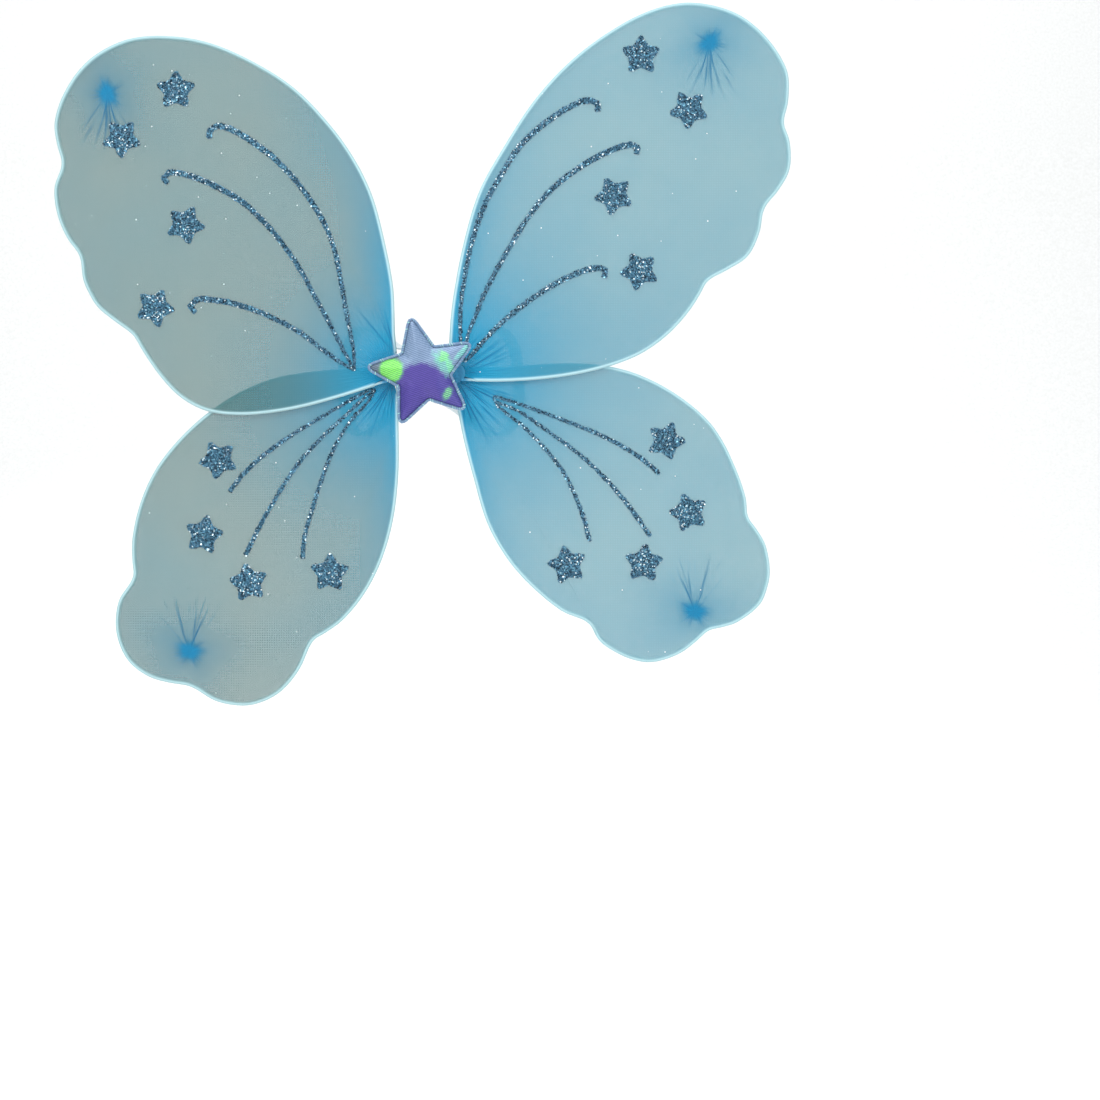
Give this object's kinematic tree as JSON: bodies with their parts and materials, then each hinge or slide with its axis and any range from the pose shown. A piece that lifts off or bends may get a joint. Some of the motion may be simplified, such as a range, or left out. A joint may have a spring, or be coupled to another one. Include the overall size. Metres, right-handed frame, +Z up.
{
  "type": "fairy wings",
  "caption": "Butterfly-shaped fairy costume wings: stretched nylon on wire frames, glitter stars and veins, a padded star over the centre and elastic shoulder straps.",
  "frame": {"origin": "centre of the felt pad's flat back face, which lies against the wearer's back", "axes": "+X to the wearer's right across both wings, +Y forward through the wearer, +Z up; the padded star faces -Y"},
  "size_m": [0.4598, 0.1212, 0.4398],
  "materials": {
    "wire": "thin steel wire under the white-blue edge of the nylon",
    "nylon": "sheer pale teal stretched stocking nylon, dyed deeper blue at the root",
    "knot": "gathered nylon tied off with thread",
    "glitter": "steel-blue polyester glitter set in glue",
    "tape": "nylon gathers wound with blue tape",
    "felt": "pressed pale blue felt",
    "glue": "translucent hot-melt glue",
    "star_film": "iridescent holographic film fabric with fine embossed ribs",
    "foam": "soft polyester wadding",
    "thread": "mint green metallic thread",
    "elastic": "flat woven elastic, pale blue"
  },
  "bodies": {
    "centre": {"back_pad": "felt", "centre_binding": "tape", "star_glue_spot": "glue", "star_back_cover": "star_film", "star_padding": "foam", "star_front_cover": "star_film", "star_stitched_edge": "thread"},
    "left_root": {"left_wing_binding": "tape"},
    "right_root": {"right_wing_binding": "tape"},
    "upper_left_wing": {"upper_left_wing_wire": "wire", "upper_left_wing_nylon": "nylon", "upper_left_wing_knot": "knot", "upper_left_glitter_star_1": "glitter", "upper_left_glitter_star_2": "glitter", "upper_left_glitter_star_3": "glitter", "upper_left_glitter_star_4": "glitter", "upper_left_glitter_vein_1": "glitter", "upper_left_glitter_vein_2": "glitter", "upper_left_glitter_vein_3": "glitter"},
    "upper_right_wing": {"upper_right_wing_wire": "wire", "upper_right_wing_nylon": "nylon", "upper_right_wing_knot": "knot", "upper_right_glitter_star_1": "glitter", "upper_right_glitter_star_2": "glitter", "upper_right_glitter_star_3": "glitter", "upper_right_glitter_star_4": "glitter", "upper_right_glitter_vein_1": "glitter", "upper_right_glitter_vein_2": "glitter", "upper_right_glitter_vein_3": "glitter"},
    "lower_left_wing": {"lower_left_wing_wire": "wire", "lower_left_wing_nylon": "nylon", "lower_left_wing_knot": "knot", "lower_left_glitter_star_1": "glitter", "lower_left_glitter_star_2": "glitter", "lower_left_glitter_star_3": "glitter", "lower_left_glitter_star_4": "glitter", "lower_left_glitter_vein_1": "glitter", "lower_left_glitter_vein_2": "glitter", "lower_left_glitter_vein_3": "glitter"},
    "lower_right_wing": {"lower_right_wing_wire": "wire", "lower_right_wing_nylon": "nylon", "lower_right_wing_knot": "knot", "lower_right_glitter_star_1": "glitter", "lower_right_glitter_star_2": "glitter", "lower_right_glitter_star_3": "glitter", "lower_right_glitter_star_4": "glitter", "lower_right_glitter_vein_1": "glitter", "lower_right_glitter_vein_2": "glitter", "lower_right_glitter_vein_3": "glitter"},
    "left_strap": {"left_shoulder_strap": "elastic", "left_strap_upper_whipping": "thread", "left_strap_lower_whipping": "thread"},
    "right_strap": {"right_shoulder_strap": "elastic", "right_strap_upper_whipping": "thread", "right_strap_lower_whipping": "thread"}
  },
  "joints": [
    {"name": "left_wing_flap", "type": "hinge", "parent": "centre", "child": "left_root", "pos_m": [-0.011, -0.0083, 0], "axis": [0, 0, 1], "range_deg": [-12, 18]},
    {"name": "right_wing_flap", "type": "hinge", "parent": "centre", "child": "right_root", "pos_m": [0.011, -0.0083, 0], "axis": [0, 0, -1], "range_deg": [-12, 18]},
    {"name": "upper_left_wing_spread", "type": "hinge", "parent": "left_root", "child": "upper_left_wing", "pos_m": [-0.02, -0.01, 0], "axis": [0, -1, 0], "range_deg": [-8, 8]},
    {"name": "upper_right_wing_spread", "type": "hinge", "parent": "right_root", "child": "upper_right_wing", "pos_m": [0.02, -0.01, 0], "axis": [0, 1, 0], "range_deg": [-8, 8]},
    {"name": "lower_left_wing_spread", "type": "hinge", "parent": "left_root", "child": "lower_left_wing", "pos_m": [-0.02, -0.0066, 0], "axis": [0, -1, 0], "range_deg": [-8, 8]},
    {"name": "lower_right_wing_spread", "type": "hinge", "parent": "right_root", "child": "lower_right_wing", "pos_m": [0.02, -0.0066, 0], "axis": [0, 1, 0], "range_deg": [-8, 8]},
    {"name": "left_strap_swing", "type": "hinge", "parent": "centre", "child": "left_strap", "pos_m": [-0.005, -0.0033, 0], "axis": [0, 0, 1], "range_deg": [-15, 18]},
    {"name": "right_strap_swing", "type": "hinge", "parent": "centre", "child": "right_strap", "pos_m": [0.005, -0.0033, 0], "axis": [0, 0, -1], "range_deg": [-15, 18]}
  ]
}
